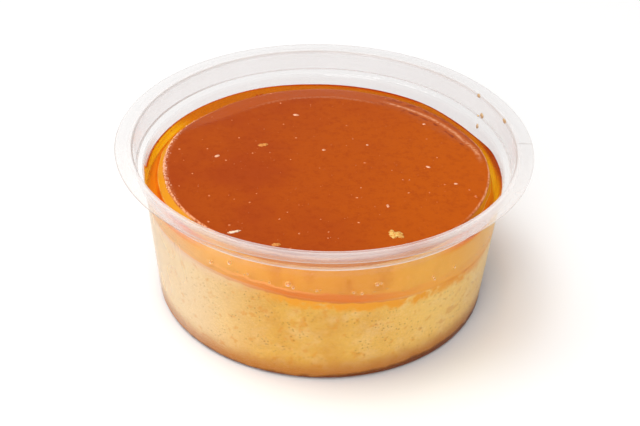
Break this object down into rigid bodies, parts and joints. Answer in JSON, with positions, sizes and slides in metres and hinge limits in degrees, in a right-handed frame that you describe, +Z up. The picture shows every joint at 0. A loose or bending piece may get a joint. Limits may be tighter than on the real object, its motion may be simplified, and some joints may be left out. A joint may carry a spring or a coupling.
{
  "type": "creme caramel flan",
  "caption": "Round baked custard with a caramel top and sauce, set in a low clear plastic tub with a flat flanged rim.",
  "frame": {"origin": "middle of the tub's base, on the surface it stands on", "axes": "+Z up along the tub's axis, -Y towards the side shown, +X to the right"},
  "size_m": [0.117, 0.117, 0.0477],
  "materials": {
    "clear_plastic": "clear thin moulded plastic, slightly milky",
    "custard": "moist pale yellow baked custard with fine pores",
    "caramel": "wet glossy orange-brown caramel",
    "sauce": "clear amber caramel syrup"
  },
  "bodies": {
    "root": {"tub": "clear_plastic", "custard": "custard", "caramel_top": "caramel", "caramel_sauce": "sauce"}
  },
  "joints": []
}
